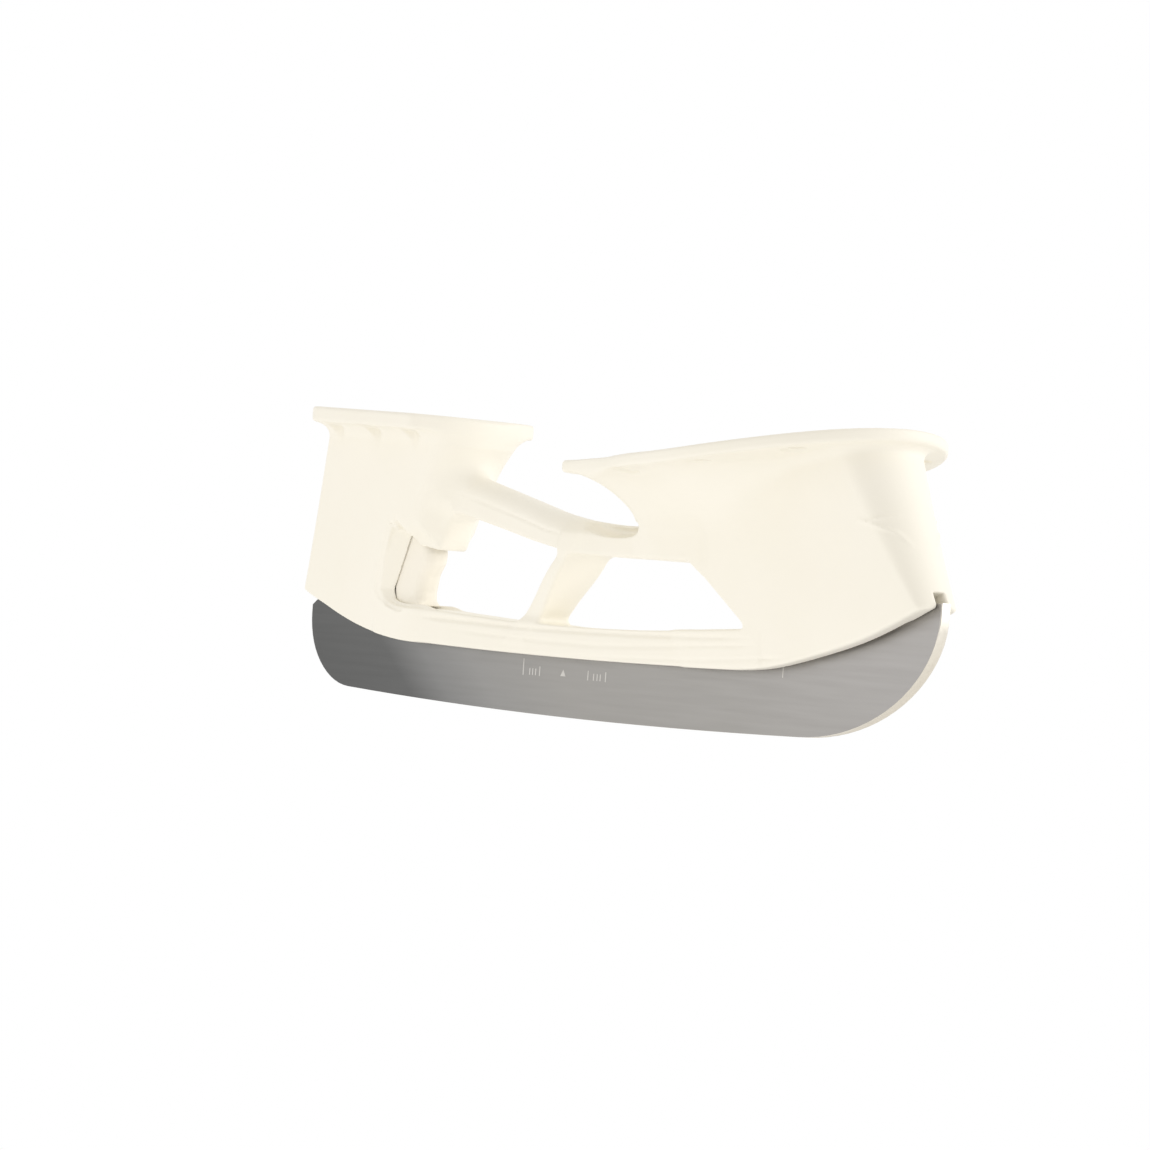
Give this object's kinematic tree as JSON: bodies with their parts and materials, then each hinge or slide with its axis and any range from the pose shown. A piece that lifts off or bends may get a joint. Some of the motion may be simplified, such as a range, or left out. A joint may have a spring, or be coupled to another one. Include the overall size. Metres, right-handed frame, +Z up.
{
  "type": "skate blade holder",
  "caption": "Moulded blade holder for an ice hockey skate with a steel runner, which a sprung trigger in the heel tower releases.",
  "frame": {"origin": "under mid-length of the steel, level with its lowest point", "axes": "+X towards the toe, +Y across the foot, +Z up"},
  "size_m": [0.283, 0.069, 0.084],
  "materials": {
    "ivory_nylon": "satin moulded",
    "trigger_nylon": "satin moulded",
    "runner_steel": "satin",
    "pin_steel": "ground",
    "spring_steel": "drawn wire",
    "latch_steel": "stamped"
  },
  "bodies": {
    "holder": {"holder_body": "ivory_nylon", "toe_anchor_pin": "pin_steel", "trigger_pin": "pin_steel"},
    "steel": {"runner": "runner_steel"},
    "release": {"trigger": "trigger_nylon", "trigger_spring": "spring_steel", "latch_plate": "latch_steel", "latch_rivets": "latch_steel"}
  },
  "joints": [
    {"name": "runner_swing", "type": "hinge", "parent": "holder", "child": "steel", "pos_m": [0.112, 0, 0.043], "axis": [0, -1, 0], "range_deg": [0, 1]},
    {"name": "trigger_pull", "type": "hinge", "parent": "holder", "child": "release", "pos_m": [-0.084, 0, 0.052], "axis": [0, -1, 0], "range_deg": [0, 12], "stiffness_Nm_per_rad": 0.09, "springref_deg": -20.05}
  ],
  "couplings": [
    {"joint": "trigger_pull", "follows": "runner_swing", "ratio": 12}
  ]
}
